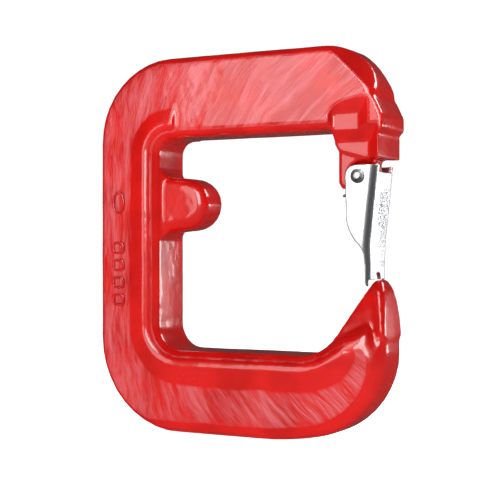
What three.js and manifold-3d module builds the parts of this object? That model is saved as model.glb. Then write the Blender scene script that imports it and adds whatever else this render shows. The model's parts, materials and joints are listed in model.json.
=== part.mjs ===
// A lifting clamp: a forged C-shaped frame whose mouth is closed by a sprung, stamped latch.
// Millimetres. X runs across the frame (mouth at +X), Y through its thickness, Z is up.
// The origin is the middle of the frame's overall box, on its parting plane.
import * as THREE from 'three';
import { mergeVertices } from 'three/addons/utils/BufferGeometryUtils.js';
import Module from 'manifold-3d';

const wasm = await Module();
wasm.setup();

// ---- frame: overall sizes and bars ----
const overallWidth = 167;
const overallHeight = 201;
const spineWidth = 36.6;
const topBarHeight = 42.8;
const bottomBarHeight = 44;
const bodyThickness = 32;
const edgeRound = 5;
const lowerEdgeRound = [9.5, 8];
const topLeftRadius = 44;
const topRightRadius = 28.5;
const bottomLeftRadius = 50;
const bottomRightRadius = 45;
const bowRadius = 150;
const bowAngle = 0.222;
const eyeTopRadius = 8;
const eyeBottomRadius = 14;

const left = -overallWidth / 2;
const right = overallWidth / 2;
const top = overallHeight / 2;
const bottom = -overallHeight / 2;
const bodyHalf = bodyThickness / 2;
const eyeLeft = left + spineWidth;
const eyeTop = top - topBarHeight;
const eyeBottom = bottom + bottomBarHeight;

// ---- frame: raised bead round the inside of the eye ----
const beadThickness = 36.4;
const beadInnerWidth = 25;
const beadProud = 0.4;
const beadCrestRadius = 5;
const beadCrestDistance = 7;
const beadWidth = 17.7;
const beadBottomWidth = 22;
const beadFadeLength = 26;
const beadFadeThrough = 0.2;
const beadFadeAcross = 0.25;
const beadStartX = eyeLeft + 11.9;
const beadArc = [135, 115, 95, 80];
const beadSkirtReach = 2;
const beadSkirtDrop = 0.6;
const beadHeelReach = 14;
const beadEndInset = 2.6;
const beadEndDrop = 22.3;
const beadEndLead = [13, 5];
const beadWidenSpan = 0.1;
const beadSteps = 96;

// ---- frame: tongue on the spine ----
const tongueReach = 28.3;
const tongueHeight = 30.4;
const tongueCentreZ = 22;
const tongueThickness = 22;
const tongueEdge = [6, 5];
const tongueFlare = 4.5;
const tongueRootDepth = 6;
const tongueDraft = 1;
const tongueTipLead = 2;
const tongueFlareMiddle = [0.35, 0.3];

// ---- frame: nose ----
const noseTipX = right - 6.7;
const noseTipZ = eyeBottom + 39.2;
const noseTipRadius = 3.6;
const noseSlope = 0.985;
const noseHeelRadius = 22;
const noseRoot = [12, 9];
const noseTipTurn = 0.35;
const noseBulge = 26;
const noseFootTurn = -0.6;
const cornerCut = [0.3, 0.1];
// Sections down the nose: drop below the tip, then the distance in from the frame's right side
// and the half thickness of the inner edge, the crease, the rib's edge and the outer face.
const noseSections = [
  [-0.6, 8.5, 2.4, 7.3, 3.2, 6.2, 4.0, 4.9, 3.0],
  [5.2, 15, 4.2, 7.8, 6.5, 5.4, 8.7, 2.4, 6.8],
  [14.2, 22, 6.0, 6.9, 9.0, 3.4, 11.2, 1.0, 9.6],
  [29.3, 32, 9.0, 5.6, 10.8, 1.8, 13.2, 0, 11.5],
  [38.7, 42, 12.0, 5.4, 12.0, 2.2, 13.6, 0, 10.5],
  [48.7, 42, 12.5, 7.6, 14.8, 5.2, 14.6, 0, 7.4],
];
const noseSectionSteps = 3;

// ---- frame: head, at the mouth's end of the top bar ----
const endBlockInset = 2.4;
const endBlockX = right - endBlockInset;
const endBlockDrop = 14.7;
const barEndInset = 1.3;
const barEndX = endBlockX - barEndInset;
const endStepHeight = endBlockInset;
const endStepLength = 6.4;
const endStepRise = -0.1;
const coreInset = 26.1;
const headEdge = 1;
const facetTurn = 0.98;
const facetAt = [11.5, 26.3];
const facetLength = 70;
const recessHalf = 13;
const coreHalf = 8.6;

// ---- frame: finger and tang that hold the latch's pin ----
const pinInset = 11.2;
const pinDrop = 23.5;
const pinX = endBlockX - pinInset;
const pinZ = eyeTop - pinDrop;
const fingerInset = 24.4;
const fingerHalf = 8;
const fingerReach = 6.1;
const tangHalf = 4.5;
const tangRoom = 0.94;
const tangTopDrop = 8;
const cheekRoom = 0.8;

// Outlines on the head, as [inset from its end face, rise from the top bar's underside].
const headPoints = [
  [coreInset, 12],
  [coreInset, -7],
  [fingerInset, -10],
  [pinInset, 1 - endBlockDrop],
  [5.5, -endBlockDrop],
  [0, -endBlockDrop],
  [0, endStepRise - endStepHeight],
  [-endStepHeight, endStepRise],
  [-endStepHeight, endStepRise + endStepLength],
  [barEndInset, topBarHeight - topRightRadius],
  [9.3, 22],
];
const pocketFoot = -endBlockDrop - 3;
const recessFloorPoints = [[25.7, pocketFoot], [25.7, 7.8], [10.8, 7.8], [10.8, pocketFoot]];
const recessRimPoints = [
  [26.8, pocketFoot],
  [26.1, 8.1],
  [23.8, 11.7],
  [18.9, 14.7],
  [11.9, 16.6],
  [4.6, 17.3],
  [3.9, 16.3],
  [3.9, pocketFoot],
];
const coreFloorPoints = [[27, pocketFoot], [27, -5.4], [6.7, -5.4], [6.7, pocketFoot]];
const coreRimPoints = [[27, pocketFoot], [27, 3], [-1, 3], [-1, pocketFoot]];
const fingerTipDrop = pinDrop + fingerReach;
const fingerPoints = [
  [fingerInset, -8],
  [fingerInset, 3 - fingerTipDrop],
  [fingerInset - 2, -fingerTipDrop],
  [fingerInset - 5, 0.5 - fingerTipDrop],
  [pinInset, 3 - pinDrop],
  [pinInset - 7.5, 1 - endBlockDrop],
  [pinInset - 5, -5],
];

// ---- latch ----
const fit = 0.3;
const latchWidth = 27.5;
const latchTipWidth = 25.5;
const sheet = 2.2;
const bendRadius = 5.2;
const bendInnerRadius = bendRadius - sheet;
const cheekRadius = 7;
const cheekRise = 5.6;
const channelDepth = 22;
const webTopX = pinX + 9.9;
const webKinkX = pinX + 5.6;
const webFootX = pinX + 5.4;
const webTopZ = pinZ + 2.1;
const webFootZ = noseTipZ + 0.1;
const mouthDrop = pinZ - noseTipZ;
const kinkShare = 0.365;
const webKinkZ = noseTipZ + kinkShare * mouthDrop;
const lipFootZ = noseTipZ - 3.4;
const lipDepth = 3;
const notchRadius = 3.6;
const waistShare = 0.431;
const waistInset = [0.8, 1.6, 5];
const kneeInset = 1.6;
const shinDrop = [3, 7.5];
const lipCorner = [0.6, 0.8, 2.2, 2];
const webCutReach = [12, 9];
const lipSlack = 0.5;
const channelSteps = 24;
const tipTaper = [0.65, 0.85];

// ---- pin ----
const pinDiameter = 5;
const pinHeadProud = 1.1;
const pinHeadHeight = 1.6;
const pinHeadEdge = 1.8;

// ---- spring ----
const wire = 1.4;
const coilGap = 0.35;
const coilClearance = 0.7;
const mostCoilTurns = 2;
const coilSteps = 12;
const springSteps = 140;
const armStandoff = 0.65;
const legEndX = pinX - 11.3;
const legEndZ = pinZ - 9.6;
const loopShare = 0.4233;
const loopRise = 2.2;

const arcSteps = 5;
const roundSides = 40;
const cheekInner = latchWidth / 2 - sheet;

// ---- helpers ----
const finish = (name, color, roughness, metalness) => (
  new THREE.MeshStandardMaterial({ name, color, roughness, metalness })
);

// A closed geometry as a solid that can be joined and cut.
function solid(geometry) {
  const bare = geometry.clone();
  bare.deleteAttribute('normal');
  bare.deleteAttribute('uv');
  const merged = mergeVertices(bare, 1e-4);
  const corners = merged.index.array;
  const kept = [];
  for (let i = 0; i < corners.length; i += 3) {
    const [a, b, c] = corners.slice(i, i + 3);
    if (a !== b && b !== c && c !== a) {
      kept.push(a, b, c);
    }
  }
  return new wasm.Manifold(new wasm.Mesh({
    numProp: 3,
    vertProperties: new Float32Array(merged.attributes.position.array),
    triVerts: new Uint32Array(kept),
  }));
}

function geometryOf(body) {
  const { vertProperties, triVerts } = body.getMesh();
  const geometry = new THREE.BufferGeometry();
  geometry.setAttribute('position', new THREE.BufferAttribute(new Float32Array(vertProperties), 3));
  geometry.setIndex(new THREE.BufferAttribute(new Uint32Array(triVerts), 1));
  const flat = geometry.toNonIndexed();
  flat.computeVertexNormals();
  return flat;
}

// An outline in the XZ plane given thickness along Y, centred on the parting plane.
// edge is [in-plane size, depth] of the round on both rims.
function slab(shape, thickness, edge = [0, 0], edgeSteps = 3) {
  const geometry = new THREE.ExtrudeGeometry(shape, {
    depth: thickness - 2 * edge[1],
    curveSegments: arcSteps,
    bevelEnabled: edge[1] > 0,
    bevelSize: edge[0],
    bevelOffset: -edge[0],
    bevelThickness: edge[1],
    bevelSegments: edgeSteps,
  });
  geometry.translate(0, 0, edge[1] - thickness / 2);
  geometry.rotateX(Math.PI / 2);
  return solid(geometry);
}

// A closed body with flat sides through two outlines, [x, z] points at one half thickness each,
// on the near side and mirrored on the far side.
function sidePockets(floorPoints, floorHalf, rimPoints, rimHalf) {
  const near = wasm.Manifold.hull([
    ...floorPoints.map(([x, z]) => [x, -floorHalf, z]),
    ...rimPoints.map(([x, z]) => [x, -rimHalf, z]),
  ]);
  return both(near);
}

function polygon(points) {
  return new THREE.Shape(points.map(([x, z]) => new THREE.Vector2(x, z)));
}

// A section swept along a flat path in the XZ plane: u points to the right of the heading and
// v along Y, and warp changes both along the way.
function sweep(section, path, steps, warp) {
  const bar = new THREE.ExtrudeGeometry(section, {
    depth: 1, steps, bevelEnabled: false, curveSegments: 4,
  });
  const place = bar.attributes.position;
  for (let i = 0; i < place.count; i += 1) {
    const along = THREE.MathUtils.clamp(place.getZ(i), 0, 1);
    const centre = path.getPointAt(along);
    const heading = path.getTangentAt(along);
    const [u, v] = warp(along, place.getX(i), place.getY(i));
    place.setXYZ(i, centre.x + heading.y * u, v, centre.y - heading.x * u);
  }
  return solid(bar);
}

// A round bar along Y.
function roundBar(radius, from, to, x, z) {
  const geometry = new THREE.CylinderGeometry(radius, radius, to - from, roundSides);
  geometry.translate(x, (from + to) / 2, z);
  return solid(geometry);
}

// A forging is solid right through, so a pocket closed in between joined shapes is filled.
function outerSkin(body) {
  const skins = body.decompose();
  skins.sort((a, b) => b.volume() - a.volume());
  return skins[0];
}

const both = (body) => body.add(body.mirror([0, 1, 0]));

// ---- forged frame ----
const slopeEnd = new THREE.Vector2(
  noseTipX - noseTipRadius * Math.sin(noseSlope),
  noseTipZ - noseTipRadius + noseTipRadius * Math.cos(noseSlope),
);
const heelRise = noseHeelRadius * (1 - Math.cos(noseSlope));
const heelRun = noseHeelRadius * Math.sin(noseSlope);
const slopeRise = slopeEnd.y - (eyeBottom + heelRise);
const heelX = slopeEnd.x - slopeRise / Math.tan(noseSlope) - heelRun;
const bowX = right - bottomRightRadius - (bowRadius - bottomRightRadius) * Math.sin(bowAngle);
const bowZ = bottom + bowRadius;
const cornerX = bowX + (bowRadius - bottomRightRadius) * Math.sin(bowAngle);
const cornerZ = bowZ - (bowRadius - bottomRightRadius) * Math.cos(bowAngle);

// Inside of the eye, walked from the top bar down the spine to the nose's heel.
function walkEye(path) {
  path.lineTo(eyeLeft + eyeTopRadius, eyeTop);
  path.absarc(eyeLeft + eyeTopRadius, eyeTop - eyeTopRadius, eyeTopRadius, Math.PI / 2, Math.PI, false);
  path.lineTo(eyeLeft, eyeBottom + eyeBottomRadius);
  path.absarc(eyeLeft + eyeBottomRadius, eyeBottom + eyeBottomRadius, eyeBottomRadius,
    Math.PI, 1.5 * Math.PI, false);
  path.lineTo(heelX, eyeBottom);
}

function walkNoseSlope(path) {
  path.absarc(heelX, eyeBottom + noseHeelRadius, noseHeelRadius,
    -Math.PI / 2, noseSlope - Math.PI / 2, false);
  path.lineTo(slopeEnd.x, slopeEnd.y);
}

// Top bar, spine and bottom bar. The nose and the head are bodies of their own.
function bodyOutline() {
  const shape = new THREE.Shape();
  shape.moveTo(endBlockX - coreInset, eyeTop);
  walkEye(shape);
  const [cutIn, cutUp] = cornerCut.map((share) => share * bottomRightRadius);
  shape.lineTo(right - cutIn, cornerZ + cutUp);
  shape.lineTo(right, cornerZ);
  shape.absarc(cornerX, cornerZ, bottomRightRadius, 0, bowAngle - Math.PI / 2, true);
  shape.absarc(bowX, bowZ, bowRadius, bowAngle - Math.PI / 2, -Math.PI / 2, true);
  shape.absarc(left + bottomLeftRadius, bottom + bottomLeftRadius, bottomLeftRadius,
    1.5 * Math.PI, Math.PI, true);
  shape.absarc(left + topLeftRadius, top - topLeftRadius, topLeftRadius, Math.PI, Math.PI / 2, true);
  shape.absarc(barEndX - topRightRadius, top - topRightRadius, topRightRadius, Math.PI / 2, 0, true);
  shape.lineTo(barEndX, eyeTop);
  return shape;
}

function noseOutline() {
  const shape = new THREE.Shape();
  shape.moveTo(heelX - noseRoot[0], eyeBottom - noseRoot[1]);
  shape.lineTo(heelX, eyeBottom);
  walkNoseSlope(shape);
  shape.absarc(noseTipX, noseTipZ - noseTipRadius, noseTipRadius,
    noseSlope + Math.PI / 2, noseTipTurn, true);
  shape.quadraticCurveTo(right, cornerZ + noseBulge, right, cornerZ);
  shape.absarc(cornerX, cornerZ, bottomRightRadius, 0, noseFootTurn, true);
  return shape;
}

const onHead = (points) => points.map(([inset, rise]) => [endBlockX - inset, eyeTop + rise]);

// The block at the end of the top bar, with the stop for the latch below it.
function headOutline() {
  return polygon(onHead(headPoints));
}

// The bottom rim and the lower right corner are rounded more than the rest: this follows their
// outline, and its other sides lie far out.
function lowerRimOutline() {
  const far = overallWidth;
  const pastCorner = 0.12;
  const shape = new THREE.Shape();
  shape.moveTo(left - far, top + far);
  shape.lineTo(left - far, bottom);
  shape.lineTo(bowX, bottom);
  shape.absarc(bowX, bowZ, bowRadius, -Math.PI / 2, bowAngle - Math.PI / 2, false);
  shape.absarc(cornerX, cornerZ, bottomRightRadius, bowAngle - Math.PI / 2, pastCorner, false);
  shape.lineTo(right + far, cornerZ + bottomRightRadius);
  shape.lineTo(right + far, top + far);
  return shape;
}

function bead() {
  const crest = beadThickness / 2;
  const arc = beadArc.map((degrees) => {
    const angle = THREE.MathUtils.degToRad(degrees);
    return [
      beadCrestDistance + beadCrestRadius * Math.cos(angle),
      crest - beadCrestRadius + beadCrestRadius * Math.sin(angle),
    ];
  });
  const skirt = [beadWidth + beadSkirtReach, bodyHalf - beadSkirtDrop];
  const halfSection = [[-beadProud, beadInnerWidth / 2], ...arc, skirt];
  const section = polygon([...halfSection, ...halfSection.map(([u, v]) => [u, -v]).reverse()]);
  const path = new THREE.Path();
  path.moveTo(beadStartX, eyeTop);
  walkEye(path);
  const end = new THREE.Vector2(noseTipX - beadEndInset, noseTipZ - beadEndDrop);
  path.bezierCurveTo(heelX + beadHeelReach, eyeBottom,
    end.x - beadEndLead[0], end.y - beadEndLead[1], end.x, end.y);
  const length = path.getLength();
  const barAt = 1 - (end.x - eyeLeft) / length;
  const widening = (beadBottomWidth - beadCrestDistance) / (beadWidth - beadCrestDistance) - 1;
  return sweep(section, path, beadSteps, (along, u, v) => {
    const wide = THREE.MathUtils.smoothstep(along, barAt - beadWidenSpan, barAt + beadWidenSpan);
    const fade = THREE.MathUtils.clamp(1 - ((1 - along) * length) / beadFadeLength, 0, 1);
    const beyond = Math.max(u - beadCrestDistance, 0);
    return [
      (u + beyond * widening * wide) * (1 - beadFadeAcross * fade * fade),
      v * (1 - beadFadeThrough * fade * fade),
    ];
  });
}

// The nose narrows from its outer rib towards the eye and towards its tip.
function nose() {
  const columns = noseSections[0].map((_, column) => (
    new THREE.CatmullRomCurve3(noseSections.map((row) => new THREE.Vector3(row[column], 0, 0)))
  ));
  const count = (noseSections.length - 1) * noseSectionSteps;
  const section = (level, first, last) => {
    const [drop, ...pairs] = columns.map((line) => line.getPoint(level / count).x);
    const points = [];
    for (let i = 2 * first; i <= 2 * last; i += 2) {
      points.push([right - pairs[i], pairs[i + 1], noseTipZ - drop]);
      points.push([right - pairs[i], -pairs[i + 1], noseTipZ - drop]);
    }
    return points;
  };
  const layers = [];
  for (let level = 0; level < count; level += 1) {
    for (const [first, last] of [[0, 1], [1, 3]]) {
      layers.push(wasm.Manifold.hull([
        ...section(level, first, last),
        ...section(level + 1, first, last),
      ]));
    }
  }
  return layers.reduce((body, layer) => body.add(layer))
    .intersect(slab(noseOutline(), bodyThickness));
}

// The corner facets beside the top right corner, one on each side.
function cornerFacets() {
  const facet = new THREE.BoxGeometry(facetLength, bodyThickness, bodyThickness);
  facet.translate(0, -bodyHalf, bodyHalf);
  facet.rotateX(-facetTurn);
  facet.rotateY(Math.PI / 4);
  facet.translate(endBlockX - facetAt[0], -bodyHalf, eyeTop + facetAt[1]);
  return both(solid(facet));
}

// The pockets that leave the end block standing on each side of a thinner core.
function recess() {
  const outside = bodyHalf + 0.2;
  const [recessFloor, recessRim] = [recessFloorPoints, recessRimPoints].map(onHead);
  const [coreFloor, coreRim] = [coreFloorPoints, coreRimPoints].map(onHead);
  return sidePockets(recessFloor, recessHalf, recessRim, outside)
    .add(sidePockets(coreFloor, coreHalf, coreRim, outside));
}

function lug() {
  const hole = pinDiameter / 2 + fit;
  const tangRadius = webInner(pinZ) - tangRoom - pinX;
  const tangTopZ = eyeTop - tangTopDrop;
  const tang = polygon([
    [pinX - tangRadius, pinZ],
    [pinX - tangRadius, tangTopZ],
    [pinX + tangRadius, tangTopZ],
    [pinX + tangRadius, pinZ],
  ]);
  return slab(polygon(onHead(fingerPoints)), 2 * fingerHalf, [headEdge, headEdge], 1)
    .subtract(both(roundBar(cheekRadius + cheekRoom, tangHalf, bodyHalf, pinX, pinZ)))
    .add(slab(tang, 2 * tangHalf))
    .add(roundBar(tangRadius, -tangHalf, tangHalf, pinX, pinZ))
    .subtract(roundBar(hole, -bodyHalf, bodyHalf, pinX, pinZ));
}

function tongue() {
  const radius = tongueHeight / 2;
  const root = eyeLeft - tongueRootDepth;
  const tip = eyeLeft + tongueReach;
  const shape = new THREE.Shape();
  shape.moveTo(root, tongueCentreZ - radius - tongueDraft);
  shape.lineTo(tip - radius - tongueTipLead, tongueCentreZ - radius + tongueDraft);
  shape.absellipse(tip - radius, tongueCentreZ, radius, radius - tongueDraft,
    -Math.PI / 2, Math.PI / 2, false);
  shape.lineTo(root, tongueCentreZ + radius + tongueDraft);
  const corners = (x, side, reach) => [[1, 1], [1, -1], [-1, 1], [-1, -1]].map(([a, b]) => (
    [x, a * side, tongueCentreZ + b * reach]
  ));
  const half = tongueThickness / 2;
  const [middleOut, middleUp] = tongueFlareMiddle.map((share) => share * tongueFlare);
  const flare = wasm.Manifold.hull([
    ...corners(eyeLeft - 1, beadInnerWidth / 2, radius + tongueFlare),
    ...corners(eyeLeft + middleOut, half - 0.2, radius + middleUp),
    ...corners(eyeLeft + tongueFlare, half - tongueEdge[1] / 2, radius - tongueDraft),
  ]);
  return slab(shape, tongueThickness, tongueEdge, 4).add(flare);
}

function forgedFrame() {
  const body = slab(bodyOutline(), bodyThickness, [edgeRound, edgeRound]);
  const head = slab(headOutline(), bodyThickness, [headEdge, headEdge], 1);
  return outerSkin(body
    .add(nose())
    .intersect(slab(lowerRimOutline(), bodyThickness, lowerEdgeRound, 4))
    .add(head)
    .subtract(cornerFacets())
    .subtract(recess())
    .add(bead())
    .add(tongue())
    .add(lug()));
}

// ---- safety latch ----
const webLean = (webTopX - webKinkX) / (pinZ + cheekRadius - webKinkZ);
const webInner = (z) => webKinkX + (z - webKinkZ) * webLean - sheet;

// The channel's section: u from the web's outer face towards the eye, v along Y.
function channelSection() {
  const half = latchWidth / 2;
  const bendAt = sheet + bendInnerRadius;
  const section = new THREE.Shape();
  section.moveTo(channelDepth, -half);
  section.lineTo(channelDepth, -cheekInner);
  section.lineTo(bendAt, -cheekInner);
  section.absarc(bendAt, bendInnerRadius - cheekInner, bendInnerRadius, -Math.PI / 2, Math.PI, true);
  section.absarc(bendAt, cheekInner - bendInnerRadius, bendInnerRadius, Math.PI, Math.PI / 2, true);
  section.lineTo(channelDepth, cheekInner);
  section.lineTo(channelDepth, half);
  section.absarc(bendRadius, half - bendRadius, bendRadius, Math.PI / 2, Math.PI, false);
  section.absarc(bendRadius, bendRadius - half, bendRadius, Math.PI, 1.5 * Math.PI, false);
  return section;
}

// What is left of the channel when it is seen from the side.
function cheekOutline() {
  const lipX = webFootX - lipDepth;
  const cheekX = pinX - cheekRadius;
  const waistZ = pinZ - waistShare * mouthDrop;
  const topZ = pinZ + cheekRise;
  const [waistX, bellyX] = waistInset.map((inset) => cheekX + inset);
  const shinX = webKinkX - lipDepth;
  const [lipTopX, lipRoundX, lipEndX] = lipCorner.map((inset) => lipX + inset);
  const shape = new THREE.Shape();
  shape.moveTo(webTopX + 3, topZ);
  shape.lineTo(pinX, topZ);
  shape.bezierCurveTo(pinX - 4, topZ, cheekX, pinZ + 4, cheekX, pinZ);
  shape.lineTo(waistX, waistZ);
  shape.quadraticCurveTo(bellyX, waistZ - waistInset[2], pinX - kneeInset, webKinkZ + 0.5);
  shape.quadraticCurveTo(shinX, webKinkZ - shinDrop[0], shinX, webKinkZ - shinDrop[1]);
  shape.lineTo(lipTopX, lipFootZ + lipCorner[3]);
  shape.quadraticCurveTo(lipRoundX, lipFootZ, lipEndX, lipFootZ);
  shape.lineTo(webFootX + 4, lipFootZ);
  return shape;
}

// A block that cuts the web between two heights and leaves the cheeks.
function webCut(low, high, width) {
  const from = pinX - webCutReach[0];
  const to = webTopX + webCutReach[1];
  return slab(polygon([[from, low], [to, low], [to, high], [from, high]]), width);
}

function safetyLatch() {
  const path = new THREE.Path();
  path.moveTo(webTopX + 4 * webLean, pinZ + cheekRadius + 4);
  path.lineTo(webKinkX + 2 * webLean, webKinkZ + 2);
  path.quadraticCurveTo(webKinkX, webKinkZ, webKinkX - 0.05, webKinkZ - 2);
  path.lineTo(webFootX, lipFootZ - 1);
  const narrowing = 1 - latchTipWidth / latchWidth;
  const channel = sweep(channelSection(), path, channelSteps, (along, u, v) => (
    [u, v * (1 - narrowing * THREE.MathUtils.smoothstep(along, ...tipTaper))]
  ));
  const notch = new THREE.CylinderGeometry(notchRadius, notchRadius, 2 * bodyHalf, 24);
  notch.rotateZ(Math.PI / 2);
  notch.translate(webFootX, 0, webFootZ);
  return channel
    .intersect(slab(cheekOutline(), latchWidth + 2))
    .subtract(webCut(webTopZ, pinZ + 20, latchWidth - 2 * bendRadius))
    .subtract(webCut(lipFootZ - 5, webFootZ, latchTipWidth - 2 * sheet - lipSlack))
    .subtract(solid(notch))
    .subtract(roundBar(pinDiameter / 2 + fit, -latchWidth, latchWidth, pinX, pinZ));
}

// ---- pivot pin: a rivet with a domed head on each end ----
function pivotPin() {
  const shank = pinDiameter / 2;
  const head = shank + pinHeadProud;
  const seat = latchWidth / 2 + fit;
  const half = [
    [0, -seat - pinHeadHeight],
    [head - pinHeadEdge, -seat - pinHeadHeight],
    [head, -seat - pinHeadHeight / 2],
    [head, -seat],
    [shank, -seat],
  ];
  const profile = [...half, ...half.map(([r, y]) => [r, -y]).reverse()];
  const geometry = new THREE.LatheGeometry(profile.map(([r, y]) => new THREE.Vector2(r, y)), 28);
  geometry.translate(pinX, 0, pinZ);
  return solid(geometry);
}

// ---- double torsion spring: two coils on the pin, joined by a loop that bears on the web ----
function latchSpring() {
  const radius = wire / 2;
  const coilRadius = pinDiameter / 2 + coilClearance + radius;
  const innerY = tangHalf + fit + radius;
  const mostY = cheekInner - fit - radius;
  const coilPitch = wire + coilGap;
  const loopZ = pinZ - loopShare * mouthDrop;
  const armZ = loopZ + loopRise;
  const loopX = (z) => webInner(z) - fit - radius;
  const armX = (z) => loopX(z) - armStandoff * bendInnerRadius;
  // The angle on the coil at which a straight run from a point touches it.
  const touch = (x, z, side) => Math.atan2(z - pinZ, x - pinX)
    + side * Math.acos(coilRadius / Math.hypot(x - pinX, z - pinZ));
  const first = touch(legEndX, legEndZ, 1);
  const part = THREE.MathUtils.euclideanModulo(touch(armX(armZ), armZ, -1) - first, 2 * Math.PI);
  const room = (mostY - innerY) / coilPitch - part / (2 * Math.PI);
  const turns = THREE.MathUtils.clamp(Math.floor(room), 0, mostCoilTurns);
  const turned = part + turns * 2 * Math.PI;
  const onCoil = (angle, y) => new THREE.Vector3(
    pinX + coilRadius * Math.cos(angle), y, pinZ + coilRadius * Math.sin(angle));
  const legEnd = new THREE.Vector3(legEndX, innerY, legEndZ);
  const half = [legEnd, legEnd.clone().lerp(onCoil(first, innerY), 0.5)];
  const count = Math.round((turned / (2 * Math.PI)) * coilSteps);
  for (let i = 0; i <= count; i += 1) {
    const angle = (turned * i) / count;
    half.push(onCoil(first + angle, innerY + (coilPitch * angle) / (2 * Math.PI)));
  }
  const leave = half[half.length - 1];
  const arm = new THREE.Vector3(armX(armZ), leave.y, armZ);
  half.push(leave.clone().lerp(arm, 0.5), arm);
  half.push(new THREE.Vector3(armX(loopZ + radius), leave.y - radius, loopZ + radius));
  half.push(new THREE.Vector3(armX(loopZ), leave.y - 3 * radius, loopZ));
  const otherHalf = half.map((point) => new THREE.Vector3(point.x, -point.y, point.z)).reverse();
  const middle = new THREE.Vector3(loopX(loopZ), 0, loopZ);
  const path = new THREE.CatmullRomCurve3([...half, middle, ...otherHalf], false, 'centripetal');
  const round = new THREE.Shape();
  round.absarc(0, 0, radius, 0, 2 * Math.PI, false);
  return solid(new THREE.ExtrudeGeometry(round, {
    steps: springSteps, curveSegments: 3, bevelEnabled: false, extrudePath: path,
  }));
}

const red = finish('red_enamel', 0xc81e1a, 0.35, 0.0);
const zinc = finish('zinc_plate', 0xd5d8da, 0.28, 1.0);
const pinSteel = finish('rivet_steel', 0x9a9c9e, 0.4, 1.0);
const springSteel = finish('spring_steel', 0x55585c, 0.4, 1.0);

function part(name, body, material) {
  const mesh = new THREE.Mesh(geometryOf(body), material);
  mesh.name = name;
  return mesh;
}

const clamp = new THREE.Group();
clamp.add(part('forged_frame', forgedFrame(), red));
clamp.add(part('safety_latch', safetyLatch(), zinc));
clamp.add(part('latch_pivot_pin', pivotPin(), pinSteel));
clamp.add(part('latch_spring', latchSpring(), springSteel));

export default clamp;
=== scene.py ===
# %% [markdown]
# # A forged lifting clamp with a sprung latch
# The clamp is one red enamelled forging, shaped like a squared C. A bright stamped latch
# closes its mouth, turns on a rivet and is held shut by a small double spring.
# The solid model gives the sizes and the joint; this lesson builds the finished look round it.

import json
import math

import bmesh
import bpy
import numpy as np
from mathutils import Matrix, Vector


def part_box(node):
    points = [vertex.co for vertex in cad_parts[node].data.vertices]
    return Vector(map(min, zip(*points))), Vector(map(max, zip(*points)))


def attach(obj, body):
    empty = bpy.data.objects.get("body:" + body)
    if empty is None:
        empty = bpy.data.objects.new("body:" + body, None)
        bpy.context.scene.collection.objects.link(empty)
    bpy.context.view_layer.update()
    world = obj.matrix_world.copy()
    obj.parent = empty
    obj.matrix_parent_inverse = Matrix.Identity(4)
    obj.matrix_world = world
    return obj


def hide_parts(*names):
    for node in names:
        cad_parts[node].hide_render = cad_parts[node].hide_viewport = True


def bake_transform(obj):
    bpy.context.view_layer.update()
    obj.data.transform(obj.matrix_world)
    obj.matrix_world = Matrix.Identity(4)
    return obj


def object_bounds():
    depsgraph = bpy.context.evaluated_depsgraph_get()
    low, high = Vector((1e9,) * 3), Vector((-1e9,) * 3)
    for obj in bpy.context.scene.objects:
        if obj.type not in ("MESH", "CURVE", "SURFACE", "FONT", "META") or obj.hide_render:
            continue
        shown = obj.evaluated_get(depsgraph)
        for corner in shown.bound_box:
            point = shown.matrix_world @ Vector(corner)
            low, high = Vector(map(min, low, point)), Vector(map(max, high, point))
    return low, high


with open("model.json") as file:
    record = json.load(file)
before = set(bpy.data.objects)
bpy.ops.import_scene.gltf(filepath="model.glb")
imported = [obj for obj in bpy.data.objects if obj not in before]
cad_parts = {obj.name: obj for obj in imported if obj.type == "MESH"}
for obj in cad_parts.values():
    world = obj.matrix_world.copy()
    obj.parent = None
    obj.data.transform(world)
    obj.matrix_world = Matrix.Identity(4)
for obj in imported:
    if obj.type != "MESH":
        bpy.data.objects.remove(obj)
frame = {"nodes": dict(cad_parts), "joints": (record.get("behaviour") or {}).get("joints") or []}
solid_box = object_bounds()
joint = frame["joints"][0]
pivot = Vector(joint["pos_m"])
MM = 0.001


# %% [markdown]
# ## Writing materials as sums
# A material is a graph of nodes. Arithmetic on its values reads best as a formula, so a small
# class wraps a socket and adds a Math node each time an operator is used on it. Every other
# node comes from one method, which takes the node's type, its settings and its inputs.

# %% A shader formula class
class Signal:
    """A value in a material: using an operator on it adds the matching Math node."""

    def __init__(self, finish, socket):
        self.finish = finish
        self.socket = socket

    def maths(self, operation, *values):
        inputs = dict(zip(("Value", "Value_001", "Value_002"), values))
        return self.finish.add("ShaderNodeMath", {"operation": operation}, inputs)

    def __add__(self, other):
        return self.maths("ADD", self, other)

    def __sub__(self, other):
        return self.maths("SUBTRACT", self, other)

    def __mul__(self, other):
        return self.maths("MULTIPLY", self, other)

    def __truediv__(self, other):
        return self.maths("DIVIDE", self, other)

    def __abs__(self):
        return self.maths("ABSOLUTE", self)

    __radd__ = __add__
    __rmul__ = __mul__

    def step(self, low, high):
        """0 below low, 1 above high, and smooth in between. low may be the larger one."""
        inputs = {"Value": self, "From Min": low, "From Max": high}
        return self.finish.add("ShaderNodeMapRange", {"interpolation_type": "SMOOTHSTEP"}, inputs)

    def inside(self, centre, half_width, soft):
        """1 within half_width of centre, fading to 0 over soft."""
        return abs(self - centre).step(half_width + soft, half_width)


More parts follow.
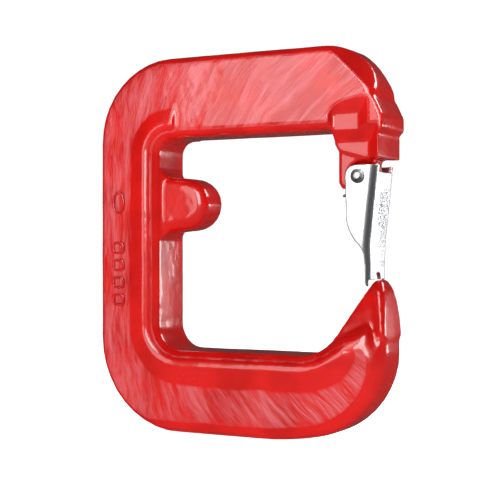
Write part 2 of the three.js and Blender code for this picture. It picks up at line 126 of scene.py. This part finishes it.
class Finish:
    """A material under construction."""

    def __init__(self, name):
        self.material = bpy.data.materials.new(name)
        self.material.use_nodes = True
        self.tree = self.material.node_tree
        self.tree.nodes.clear()
        self.place = self.add("ShaderNodeTexCoord", out="Object")

    def add(self, kind, settings=(), inputs=(), out=0):
        node = self.tree.nodes.new(kind)
        for key, value in dict(settings).items():
            setattr(node, key, value)
        sockets = {socket.identifier: socket for socket in node.inputs}
        for key, value in dict(inputs).items():
            if isinstance(value, Signal):
                self.tree.links.new(value.socket, sockets[key])
            else:
                sockets[key].default_value = value
        return Signal(self, node.outputs[out])

    def stretched_place(self, stretch):
        """Object coordinates, scaled about the origin along each axis."""
        inputs = {"Vector": self.place, "Scale": stretch}
        return self.add("ShaderNodeMapping", {"vector_type": "POINT"}, inputs)

    def noise(self, size, place=None, detail=2.0, roughness=0.5, swirl=0.0):
        """Soft noise from 0 to 1 whose lumps are about size metres across."""
        inputs = {
            "Vector": place or self.place,
            "Scale": 1 / size,
            "Detail": detail,
            "Roughness": roughness,
            "Distortion": swirl,
        }
        return self.add("ShaderNodeTexNoise", {}, inputs)

    def axis(self, letter):
        return self.add("ShaderNodeSeparateXYZ", {}, {"Vector": self.place}, out=letter)

    def blend(self, factor, first, second):
        """A colour that goes from first to second as factor goes from 0 to 1."""
        inputs = {"Factor_Float": factor, "A_Color": first, "B_Color": second}
        return self.add("ShaderNodeMix", {"data_type": "RGBA"}, inputs, out=2)

    def bump(self, height, depth, strength=1.0, under=None):
        inputs = {"Height": height, "Distance": depth, "Strength": strength}
        if under is not None:
            inputs["Normal"] = under
        return self.add("ShaderNodeBump", {}, inputs)

    def surface(self, **inputs):
        named = {key.replace("_", " "): value for key, value in inputs.items()}
        shader = self.add("ShaderNodeBsdfPrincipled", {}, named)
        self.add_output(shader)
        return self.material

    def add_output(self, shader):
        node = self.tree.nodes.new("ShaderNodeOutputMaterial")
        self.tree.links.new(shader.socket, node.inputs["Surface"])


def colour(red, green, blue):
    return (red, green, blue, 1.0)


print("materials are written with Finish and Signal")


# %% [markdown]
# ## The red enamel
# The forging is dipped and baked, so the enamel is thick, glossy and even, but it follows a
# rough skin. On the flats the skin keeps fine marks from trimming and grinding: they run
# upright at the left and lean more and more to the right. They break the reflections into
# streaks, and a pale pink painted sheen on the flats follows them: a painted highlight, even
# over the flats and stronger along the streaks. All of the enamel has a soft orange peel.
# The rims are slightly crowned, as a die leaves them. The colour is deeper in patches.

# %% Red enamel
FLAT_HALF = 16.0 * MM
FLAT_MARGIN = 0.25 * MM
FLAT_FADE = 0.35 * MM
CROWN = 3.5
LEAN_MIDDLE = 0.40
LEAN_SPAN = 190 * MM
STREAK_STRETCH = 0.13
LONG_STREAK_SHARE = 3.6
PEEL_DEPTH = 0.08 * MM
STREAK_DEPTH = 0.55 * MM
# Strength of the painted sheen on the flats, a pale pink painted highlight: an even share, and more
# along the streaks.
PAINTED_SHEEN_EVEN = 0.34
PAINTED_SHEEN_STREAKED = 2.2


def red_enamel():
    paint = Finish("red_enamel")
    x, y, z = (paint.axis(letter) for letter in "XYZ")
    flats = abs(y).inside(FLAT_HALF, FLAT_MARGIN, FLAT_FADE)
    wander = paint.noise(26 * MM, detail=1.0)
    lean = LEAN_MIDDLE + x / LEAN_SPAN
    slanted = paint.add("ShaderNodeCombineXYZ", {}, {
        "X": x - lean * abs(z) + 6 * MM * wander, "Y": 0.3 * y, "Z": STREAK_STRETCH * z})
    streaks = paint.noise(1.9 * MM, slanted, 3.0, 0.65, 0.4) - 0.5
    long_streaks = paint.noise(8 * MM, slanted, 2.0, 0.5, 0.3) - 0.5
    patches = paint.noise(24 * MM).step(0.35, 0.6)
    peel = paint.noise(1.6 * MM)
    pools = paint.noise(22 * MM, detail=3.0)
    grain = paint.noise(0.6 * MM, roughness=0.7)

    crown = paint.bump(-CROWN * y * y, 1.0)
    normal = paint.bump(peel + 0.35 * grain, PEEL_DEPTH, 0.7, crown)
    marks = (0.5 + patches) * streaks + LONG_STREAK_SHARE * long_streaks
    normal = paint.bump(flats * marks, STREAK_DEPTH, 1.0, normal)

    deep = colour(0.37, 0.0015, 0.0005)
    bright = colour(0.47, 0.0025, 0.0010)
    # The pale pink mixed into the flats below is a painted sheen, a painted highlight that is
    # stronger along the streaks.
    pink_painted_sheen = colour(0.48, 0.080, 0.090)
    painted_sheen = flats * (PAINTED_SHEEN_EVEN + PAINTED_SHEEN_STREAKED * streaks + PAINTED_SHEEN_STREAKED * long_streaks)
    base = paint.blend(pools.step(0.35, 0.65), deep, bright)
    return paint.surface(
        Base_Color=paint.blend(painted_sheen, base, pink_painted_sheen),
        Roughness=0.22 + 0.08 * pools + 0.06 * flats,
        Normal=normal,
        Specular_IOR_Level=0.3,
        Coat_Weight=0.9,
        Coat_Roughness=0.09,
    )


enamel = red_enamel()
print("enamel:", enamel.name)


# %% [markdown]
# ## The plated steels
# The latch is stamped from sheet and bright zinc plated: light, slightly bluish and finely
# brushed along its length, with small scuffs on its web. The rivet is greyer. The spring is
# dark drawn wire.

# %% Zinc, rivet and spring steel
def zinc_plate():
    plate = Finish("zinc_plate")
    y, z = plate.axis("Y"), plate.axis("Z")
    along = plate.stretched_place((1, 1, 0.08))
    brushed = plate.noise(0.35 * MM, along, 3.0, 0.6)
    cloud = plate.noise(9 * MM, detail=3.0)
    # Two scuffed places on the web, each given by its middle, half width and fade.
    upper = y.inside(1 * MM, 5 * MM, 2 * MM) * z.inside(19 * MM, 8 * MM, 2 * MM)
    lower = y.inside(4 * MM, 2 * MM, 2 * MM) * z.inside(0, 9 * MM, 3 * MM)
    specks = plate.noise(1.3 * MM, detail=3.0, roughness=0.6).step(0.50, 0.60)
    scuffs = (upper + 0.7 * lower) * specks
    fine = plate.bump(brushed, 0.02 * MM, 0.5)
    clean = plate.blend(cloud.step(0.3, 0.7), colour(0.74, 0.76, 0.79), colour(0.86, 0.87, 0.88))
    return plate.surface(
        Base_Color=plate.blend(0.45 * scuffs, clean, colour(0.42, 0.43, 0.45)),
        Metallic=1.0,
        Roughness=0.28 + 0.10 * cloud + 0.06 * brushed,
        Normal=plate.bump(scuffs, 0.12 * MM, 1.0, fine),
    )


def rivet_steel():
    metal = Finish("rivet_steel")
    stain = metal.noise(1.2 * MM, detail=3.0)
    base = metal.blend(stain.step(0.35, 0.65), colour(0.42, 0.43, 0.44), colour(0.66, 0.67, 0.68))
    return metal.surface(
        Base_Color=base,
        Metallic=1.0,
        Roughness=0.28 + 0.2 * stain,
        Normal=metal.bump(stain, 0.03 * MM, 0.5),
    )


def spring_steel():
    metal = Finish("spring_steel")
    drawn = metal.noise(0.4 * MM, detail=2.0)
    base = metal.blend(drawn, colour(0.20, 0.21, 0.23), colour(0.34, 0.35, 0.37))
    return metal.surface(Base_Color=base, Metallic=1.0, Roughness=0.3 + 0.15 * drawn)


zinc = zinc_plate()
rivet = rivet_steel()
drawn_wire = spring_steel()
print("steels:", zinc.name, rivet.name, drawn_wire.name)


# %% [markdown]
# ## Helpers for meshes and node trees
# A Geometry Nodes tree is a small program that makes a mesh. The class below writes one: it
# has named inputs, and its result is turned into a plain mesh before the piece is placed.

# %% Mesh and Geometry Nodes helpers
def new_object(name, mesh):
    piece = bpy.data.objects.new(name, mesh)
    bpy.context.scene.collection.objects.link(piece)
    return piece


def merged_copy(node, name):
    """A copy of a solid's mesh with its loose triangles joined."""
    mesh = frame["nodes"][node].data.copy()
    mesh.materials.clear()
    cleaner = bmesh.new()
    cleaner.from_mesh(mesh)
    bmesh.ops.remove_doubles(cleaner, verts=cleaner.verts, dist=1e-6)
    cleaner.to_mesh(mesh)
    cleaner.free()
    return new_object(name, mesh)


def made_plain(piece):
    """Turns what the modifiers make into the piece's own mesh."""
    graph = bpy.context.evaluated_depsgraph_get()
    mesh = bpy.data.meshes.new_from_object(piece.evaluated_get(graph), depsgraph=graph)
    piece.modifiers.clear()
    if piece.type == "MESH":
        piece.data = mesh
        result = piece
    else:
        result = new_object(piece.name + "_mesh", mesh)
        name = piece.name
        bpy.data.objects.remove(piece)
        result.name = name
    for face in result.data.polygons:
        face.use_smooth = True
    return result


def rounded_skin(piece, voxel, passes, material):
    """Rebuilds a mesh from even small faces and smooths it, which rounds every edge."""
    remesh = piece.modifiers.new("even faces", "REMESH")
    remesh.mode = "VOXEL"
    remesh.voxel_size = voxel
    smooth = piece.modifiers.new("round edges", "SMOOTH")
    smooth.factor = 0.5
    smooth.iterations = passes
    result = made_plain(piece)
    result.data.materials.clear()
    result.data.materials.append(material)
    return result


class Recipe:
    """A Geometry Nodes tree with named inputs."""

    def __init__(self, name, inputs=()):
        self.tree = bpy.data.node_groups.new(name, "GeometryNodeTree")
        face = self.tree.interface
        face.new_socket("Geometry", in_out="INPUT", socket_type="NodeSocketGeometry")
        self.names = {}
        for label, kind in dict(inputs).items():
            socket = face.new_socket(label, in_out="INPUT", socket_type=kind)
            self.names[label] = socket.identifier
        face.new_socket("Geometry", in_out="OUTPUT", socket_type="NodeSocketGeometry")
        self.source = self.tree.nodes.new("NodeGroupInput")

    def given(self, label):
        return self.source.outputs[label]

    def add(self, kind, settings=(), inputs=(), out=0):
        node = self.tree.nodes.new(kind)
        for key, value in dict(settings).items():
            setattr(node, key, value)
        for key, value in dict(inputs).items():
            if isinstance(value, bpy.types.NodeSocket):
                self.tree.links.new(value, node.inputs[key])
            else:
                node.inputs[key].default_value = value
        return node.outputs[out]

    def finish(self, geometry, material):
        plain = self.add("GeometryNodeRealizeInstances", {}, {"Geometry": geometry})
        dressed = self.add("GeometryNodeSetMaterial", {}, {"Geometry": plain, "Material": material})
        end = self.tree.nodes.new("NodeGroupOutput")
        self.tree.links.new(dressed, end.inputs[0])

    def run(self, piece, **values):
        modifier = piece.modifiers.new(self.tree.name, "NODES")
        modifier.node_group = self.tree
        for label, value in values.items():
            modifier[self.names[label.replace("_", " ")]] = value
        return made_plain(piece)


print("helpers ready")


# %% [markdown]
# ## The forged frame
# A drop forging has no sharp edge: metal flowed into every corner of the die with a radius.
# The solid model has the right sizes but crisp edges, so its mesh is rebuilt from even small
# faces and smoothed. A node tree then softens the end of the bead, where it runs out on the
# nose, and lifts and sinks the skin by a tenth of a millimetre, as scale and hammer blows
# leave it, so that highlights on the enamel waver.

# %% Forged skin recipe
# The softening ends at SOFT_END times its reach, and is full one reach nearer.
SOFT_END = 1.6
SOFT_PASSES = 25


def mirrored(recipe, place):
    """The same place on the near side, so that one rule serves both sides."""
    split = recipe.add("ShaderNodeSeparateXYZ", {}, {"Vector": place})
    x, y, z = split.node.outputs
    depth = recipe.add("ShaderNodeMath", {"operation": "ABSOLUTE"}, {0: y})
    near = recipe.add("ShaderNodeMath", {"operation": "MULTIPLY"}, {0: depth, 1: -1.0})
    return recipe.add("ShaderNodeCombineXYZ", {}, {"X": x, "Y": near, "Z": z})


def forged_skin():
    recipe = Recipe("forged skin", {
        "Wave depth": "NodeSocketFloat",
        "Wave size": "NodeSocketFloat",
        "Pit depth": "NodeSocketFloat",
        "Pit size": "NodeSocketFloat",
        "Soft centre": "NodeSocketVector",
        "Soft reach": "NodeSocketFloat",
    })
    normal = recipe.add("GeometryNodeInputNormal")

    def push(geometry, depth, size, seed):
        scale = recipe.add(
            "ShaderNodeMath", {"operation": "DIVIDE"}, {0: 1.0, 1: recipe.given(size)})
        lumps = recipe.add(
            "ShaderNodeTexNoise", {"noise_dimensions": "4D"},
            {"Scale": scale, "W": seed, "Detail": 1.0})
        middle = recipe.add("ShaderNodeMath", {"operation": "SUBTRACT"}, {0: lumps, 1: 0.5})
        reach = recipe.add(
            "ShaderNodeMath", {"operation": "MULTIPLY"}, {0: middle, 1: recipe.given(depth)})
        offset = recipe.add(
            "ShaderNodeVectorMath", {"operation": "SCALE"}, {0: normal, "Scale": reach})
        return recipe.add(
            "GeometryNodeSetPosition", {}, {"Geometry": geometry, "Offset": offset})

    place = recipe.add("GeometryNodeInputPosition")
    away = recipe.add("ShaderNodeVectorMath", {"operation": "DISTANCE"}, {
        0: mirrored(recipe, place), 1: recipe.given("Soft centre")}, out="Value")
    share = recipe.add(
        "ShaderNodeMath", {"operation": "DIVIDE"}, {0: away, 1: recipe.given("Soft reach")})
    near = recipe.add(
        "ShaderNodeMath", {"operation": "SUBTRACT", "use_clamp": True}, {0: SOFT_END, 1: share})
    softened = recipe.add(
        "GeometryNodeBlurAttribute", {"data_type": "FLOAT_VECTOR"},
        {"Value": place, "Iterations": SOFT_PASSES, "Weight": near})
    eased = recipe.add("GeometryNodeSetPosition", {}, {
        "Geometry": recipe.given("Geometry"), "Position": softened})
    waved = push(eased, "Wave depth", "Wave size", 3.0)
    pitted = push(waved, "Pit depth", "Pit size", 7.0)
    recipe.finish(pitted, enamel)
    return recipe


FRAME_VOXEL = 0.92 * MM
FRAME_PASSES = 3
BEAD_END = (75 * MM, -17 * MM, -52 * MM)
forging = merged_copy("forged_frame", "forged_frame_enamelled")
forging = rounded_skin(forging, FRAME_VOXEL, FRAME_PASSES, enamel)
forging = forged_skin().run(
    forging, Wave_depth=0.35 * MM, Wave_size=14 * MM, Pit_depth=0.12 * MM, Pit_size=3.5 * MM,
    Soft_centre=BEAD_END, Soft_reach=7.5 * MM)
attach(forging, "frame")
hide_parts("forged_frame")
print("forged frame:", len(forging.data.polygons), "faces")


# %% [markdown]
# ## The latch
# The latch is a sheet steel channel. Its stamped edges are slightly rounded, which catches
# the light, so its mesh is rebuilt the same way with much smaller faces.

# %% Latch
LATCH_VOXEL = 0.33 * MM
LATCH_PASSES = 3
latch = merged_copy("safety_latch", "latch_channel")
latch = rounded_skin(latch, LATCH_VOXEL, LATCH_PASSES, zinc)
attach(latch, "latch")
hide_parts("safety_latch")
print("latch:", len(latch.data.polygons), "faces")


# %% [markdown]
# ## The rivet
# The rivet's head is a low cone with a flat middle, where the tool peened it. It is turned
# from a profile, like work on a lathe: each profile point becomes a ring. A profile point is
# a share of the head's radius and a height in millimetres from the flat middle.

# %% Rivet
RING_POINTS = 64
HEAD_HEIGHT = 1.8
HEAD_OVERHANG = 1.1 * MM


def turned(name, profile, centre, material):
    """A closed body turned about an axis along Y. The profile runs from pole to pole."""
    points = [(0, profile[0][1], 0)]
    faces = []
    for radius, y in profile[1:-1]:
        for step in range(RING_POINTS):
            angle = 2 * math.pi * step / RING_POINTS
            points.append((radius * math.cos(angle), y, radius * math.sin(angle)))
    points.append((0, profile[-1][1], 0))
    last = len(points) - 1
    rows = len(profile) - 2
    for step in range(RING_POINTS):
        after = (step + 1) % RING_POINTS
        faces.append((0, 1 + step, 1 + after))
        for row in range(rows - 1):
            low, high = 1 + row * RING_POINTS, 1 + (row + 1) * RING_POINTS
            faces.append((low + step, high + step, high + after, low + after))
        low = 1 + (rows - 1) * RING_POINTS
        faces.append((last, low + after, low + step))
    mesh = bpy.data.meshes.new(name)
    mesh.from_pydata([Vector(p) + centre for p in points], [], faces)
    mesh.materials.append(material)
    for face in mesh.polygons:
        face.use_smooth = True
    return new_object(name, mesh)


pin_low, pin_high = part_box("latch_pivot_pin")
pin_half = pin_high.y
head_radius = (pin_high.x - pin_low.x) / 2
head_profile = [
    (0.0, 0.0), (0.36, 0.0), (0.44, -0.05), (0.52, -0.20), (0.82, -0.95), (0.90, -1.08),
    (1.0, -1.2), (1.0, -HEAD_HEIGHT),
]
near_half = [(share * head_radius, -(pin_half + drop * MM)) for share, drop in head_profile]
shank = head_radius - HEAD_OVERHANG
near_half.append((shank, -(pin_half - HEAD_HEIGHT * MM)))
far_half = [(radius, -y) for radius, y in reversed(near_half)]
rivet_piece = turned("latch_rivet", near_half + far_half, Vector((pivot.x, 0, pivot.z)), rivet)
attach(rivet_piece, "latch")
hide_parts("latch_pivot_pin")
print("rivet half length:", round(pin_half / MM, 2), "mm")


# %% [markdown]
# ## The latch spring
# One wire makes the whole spring: a leg that rests under the frame's finger, a coil round the
# rivet, a loop behind the latch's web, then the same again on the far side. The wire follows
# a rule, so a node tree sweeps a circle along each path. The coils wind up as the latch opens,
# and each is its own piece; the loop rides along with the latch.

# %% Spring paths
spring_low, spring_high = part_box("latch_spring")
WIRE = 0.7 * MM
COIL_CLEARANCE = 0.7 * MM
COIL_STEPS = 110
FULL_TURNS = 2
LEG_DROP = 9.6 * MM
ARM_STANDOFF = 2.0 * MM
ARM_RISE = 2.2 * MM
LOOP_CORNER = 1.8 * MM
LOOP_DRIFT = 0.3 * MM
LOOP_DROP = 0.4 * MM
LOOP_BOW = ((1.0 * MM, 2.5 * MM), (1.4 * MM, 5.0 * MM))
inner_y = 5.5 * MM
outer_y = spring_high.y - WIRE
coil_radius = shank + COIL_CLEARANCE + WIRE
loop_z = spring_low.z + WIRE
leg_end = Vector((spring_low.x + 0.4 * WIRE, -inner_y, pivot.z - LEG_DROP))
arm_end = Vector((spring_high.x - WIRE - ARM_STANDOFF, -outer_y, loop_z + ARM_RISE))


def touch_angle(point, side):
    """The angle on the coil at which a straight run from point touches it."""
    across, up = point.x - pivot.x, point.z - pivot.z
    return math.atan2(up, across) + side * math.acos(coil_radius / math.hypot(across, up))


def on_coil(angle, y):
    across, up = coil_radius * math.cos(angle), coil_radius * math.sin(angle)
    return Vector((pivot.x + across, y, pivot.z + up))


def coil_path():
    """The near leg and coil, from the leg's end to where the wire leaves the coil."""
    start = touch_angle(leg_end, 1)
    turn = (touch_angle(arm_end, -1) - start) % (2 * math.pi) + FULL_TURNS * 2 * math.pi
    path = [leg_end.lerp(on_coil(start, -inner_y), share) for share in np.linspace(0, 0.95, 8)]
    for share in np.linspace(0, 1, COIL_STEPS + 1):
        path.append(on_coil(start + turn * share, -(inner_y + (outer_y - inner_y) * share)))
    return path


def loop_path():
    """From one coil down to the web, across it, and up to the other coil."""
    leave = on_coil(touch_angle(arm_end, -1), -outer_y)
    half = [leave.lerp(arm_end, share) for share in np.linspace(0, 1, 12)]
    for share in np.linspace(0.1, 1, 8):
        turn = share * math.pi / 2
        half.append(Vector((
            arm_end.x + LOOP_DRIFT * share,
            -outer_y + LOOP_CORNER * (1 - math.cos(turn)),
            arm_end.z - LOOP_DROP - LOOP_CORNER * math.sin(turn),
        )))
    low = half[-1]
    for out, inward in LOOP_BOW:
        half.append(low + Vector((out, inward, 0)))
    return half + [Vector((p.x, -p.y, p.z)) for p in reversed(half)]


print("coil points:", len(coil_path()), "loop points:", len(loop_path()))


# %% Spring wire
def wire_recipe():
    recipe = Recipe("drawn wire", {"Wire radius": "NodeSocketFloat"})
    section = recipe.add(
        "GeometryNodeCurvePrimitiveCircle", {},
        {"Resolution": 14, "Radius": recipe.given("Wire radius")})
    tube = recipe.add("GeometryNodeCurveToMesh", {}, {
        "Curve": recipe.given("Geometry"), "Profile Curve": section, "Fill Caps": True})
    recipe.finish(tube, drawn_wire)
    return recipe


drawing = wire_recipe()


def wire_piece(name, path):
    curve = bpy.data.curves.new(name, "CURVE")
    curve.dimensions = "3D"
    spline = curve.splines.new("POLY")
    spline.points.add(len(path) - 1)
    for point, place in zip(spline.points, path):
        point.co = (*place, 1)
    return drawing.run(new_object(name, curve), Wire_radius=WIRE)


near_coil = wire_piece("latch_spring_near_coil", coil_path())
far_path = [Vector((p.x, -p.y, p.z)) for p in coil_path()]
far_coil = wire_piece("latch_spring_far_coil", far_path)
loop = wire_piece("latch_spring_loop", loop_path())
for side, coil in ((-1, near_coil), (1, far_coil)):
    side * inner_y
    side * (outer_y - 0.4 * MM)
    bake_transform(coil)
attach(loop, "latch")
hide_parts("latch_spring")
print("spring pieces:", near_coil.name, far_coil.name, loop.name)


# %% [markdown]
# ## Raised marks on the spine
# Forgings carry raised marks from the die. Here they are plain: a row of small upright frames
# and one lozenge, standing a millimetre proud. They repeat, so a node tree sets one mark on
# each point of a row.

# %% Raised marks
OUTLINE_POINTS = 40
STROKE = 1.0 * MM
MARK_HEIGHT = 1.3 * MM
MARK_SUNK = 0.25 * MM
MARK_INSET = 13.4 * MM
MARK_STEP = 9.4 * MM
LOWEST_FRAME = -29.5 * MM
LOZENGE_MIDDLE = 23.4 * MM


def ring_mark(name, outline):
    """A flat ring that follows a closed outline in X and Z, standing proud of the near face."""
    count = len(outline)
    centre = sum(outline, Vector((0, 0, 0))) / count
    points, faces = [], []
    for level, inset in ((0.0, -0.25), (1.0, 0.0), (1.0, 1.0), (0.0, 1.25)):
        for corner in outline:
            inward = (centre - corner).normalized() * STROKE * inset
            points.append(corner + inward + Vector((0, -level * MARK_HEIGHT, 0)))
    for row in range(3):
        for i in range(count):
            j = (i + 1) % count
            low, high = row * count, (row + 1) * count
            faces.append((low + i, low + j, high + j, high + i))
    for i in range(count):
        j = (i + 1) % count
        faces.append((3 * count + i, 3 * count + j, j, i))
    mesh = bpy.data.meshes.new(name)
    mesh.from_pydata(points, [], faces)
    mesh.validate()
    return mesh


def rounded_outline(half_x, half_z, power):
    """A closed outline between an ellipse, a lozenge and a box, set by power."""
    outline = []
    for angle in np.linspace(0, 2 * math.pi, OUTLINE_POINTS, endpoint=False):
        c, s = math.cos(angle), math.sin(angle)
        outline.append(Vector((
            half_x * math.copysign(abs(c) ** power, c), 0,
            half_z * math.copysign(abs(s) ** power, s))))
    return outline


def row_recipe():
    recipe = Recipe("row of marks", {
        "Count": "NodeSocketInt", "First": "NodeSocketVector", "Step": "NodeSocketVector"})
    line = recipe.add("GeometryNodeMeshLine", {"mode": "OFFSET"}, {
        "Count": recipe.given("Count"), "Start Location": recipe.given("First"),
        "Offset": recipe.given("Step")})
    copies = recipe.add("GeometryNodeInstanceOnPoints", {}, {
        "Points": line, "Instance": recipe.given("Geometry")})
    recipe.finish(copies, enamel)
    return recipe


marks_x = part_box("forged_frame")[0].x + MARK_INSET
face_y = -FLAT_HALF + MARK_SUNK
marks_row = row_recipe()
frames_mesh = ring_mark("frames", rounded_outline(3.6 * MM, 3.1 * MM, 0.45))
frames = marks_row.run(
    new_object("raised_frames", frames_mesh), Count=4,
    First=(marks_x, face_y, LOWEST_FRAME), Step=(0, 0, MARK_STEP))
lozenge_mesh = ring_mark("lozenge", rounded_outline(3.8 * MM, 6.0 * MM, 1.0))
lozenge = marks_row.run(
    new_object("raised_lozenge", lozenge_mesh), Count=1,
    First=(marks_x, face_y, LOZENGE_MIDDLE), Step=(0, 0, 0))
for mark in (frames, lozenge):
    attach(mark, "frame")
print("marks:", len(frames.data.polygons) + len(lozenge.data.polygons), "faces")


# %% [markdown]
# ## Floor, light and camera
# The clamp stands on a plain pale floor that lights it from below. Large soft panels do the
# rest: a bright one in front, a weaker one to the left that the flats mirror, one high on the
# right for the end faces, and two low ones behind on the right that the inside of the spine
# and the latch mirror.

# %% Floor and world
def floor_finish():
    pale = Finish("pale_floor")
    grain = pale.noise(40 * MM)
    tone = pale.blend(grain, colour(0.90, 0.90, 0.90), colour(0.93, 0.93, 0.93))
    return pale.surface(
        Base_Color=tone, Roughness=0.9,
        Emission_Color=colour(1, 1, 1), Emission_Strength=1.0)


FLOOR_RADIUS = 12.0
FLOOR_SIDES = 48
floor_corners = [
    (FLOOR_RADIUS * math.cos(a), FLOOR_RADIUS * math.sin(a), solid_box[0].z - 0.4 * MM)
    for a in np.linspace(0, 2 * math.pi, FLOOR_SIDES, endpoint=False)
]
floor_mesh = bpy.data.meshes.new("floor")
floor_mesh.from_pydata(floor_corners, [], [tuple(range(len(floor_corners)))])
floor_mesh.materials.append(floor_finish())
floor = new_object("floor", floor_mesh)
floor.visible_glossy = False

SKY_SEEN = 1.1
SKY_DIFFUSE = 0.10
SKY_GLOSS = 0.05
world = bpy.data.worlds.new("studio")
bpy.context.scene.world = world
world.use_nodes = True
sky = world.node_tree
sky.nodes.clear()
rays = sky.nodes.new("ShaderNodeLightPath")
sky_end = sky.nodes.new("ShaderNodeOutputWorld")


def sky_level(strength):
    background = sky.nodes.new("ShaderNodeBackground")
    background.inputs["Color"].default_value = colour(1, 1, 1)
    background.inputs["Strength"].default_value = strength
    return background.outputs[0]


def sky_choice(ray, otherwise, chosen):
    mix = sky.nodes.new("ShaderNodeMixShader")
    sky.links.new(rays.outputs[ray], mix.inputs[0])
    sky.links.new(otherwise, mix.inputs[1])
    sky.links.new(chosen, mix.inputs[2])
    return mix.outputs[0]


lit = sky_choice("Is Glossy Ray", sky_level(SKY_DIFFUSE), sky_level(SKY_GLOSS))
sky.links.new(sky_choice("Is Camera Ray", lit, sky_level(SKY_SEEN)), sky_end.inputs["Surface"])


# %% Panels and camera
PANEL_DISTANCE = 1.3
bpy.context.scene.view_settings.view_transform = "Standard"


def panel(name, azimuth, elevation, width, height, radiance):
    """A soft panel that faces the clamp. Azimuth is in degrees to the right of the front."""
    a, e = math.radians(azimuth), math.radians(elevation)
    outward = Vector((math.sin(a) * math.cos(e), -math.cos(a) * math.cos(e), math.sin(e)))
    light = bpy.data.lights.new(name, "AREA")
    light.shape = "RECTANGLE"
    light.size = width
    light.size_y = height
    light.energy = radiance * math.pi * width * height
    lamp = bpy.data.objects.new(name, light)
    lamp.location = outward * PANEL_DISTANCE
    lamp.rotation_euler = outward.to_track_quat("Z", "Y").to_euler()
    bpy.context.scene.collection.objects.link(lamp)


panel("front_panel", azimuth=7, elevation=20, width=0.50, height=0.85, radiance=9.8)
panel("left_panel", azimuth=-21, elevation=14, width=0.46, height=0.90, radiance=3.1)
panel("side_panel", azimuth=128, elevation=40, width=0.60, height=0.50, radiance=12.0)
panel("back_panel", azimuth=137, elevation=-1, width=0.50, height=0.19, radiance=9.0)
panel("end_panel", azimuth=163, elevation=0, width=0.30, height=0.20, radiance=0.3)

CAMERA_AZIMUTH = math.radians(28)
CAMERA_DISTANCE = 0.648
AIM = Vector((0.0024, 0, -0.00245))
camera_data = bpy.data.cameras.new("camera")
camera_data.sensor_width = 36
camera_data.lens = 88.06
camera = bpy.data.objects.new("camera", camera_data)
back = Vector((math.sin(CAMERA_AZIMUTH), -math.cos(CAMERA_AZIMUTH), 0))
camera.location = AIM + back * CAMERA_DISTANCE
camera.rotation_euler = back.to_track_quat("Z", "Y").to_euler()
bpy.context.scene.collection.objects.link(camera)
bpy.context.scene.camera = camera
print("camera at", tuple(round(v, 4) for v in camera.location))
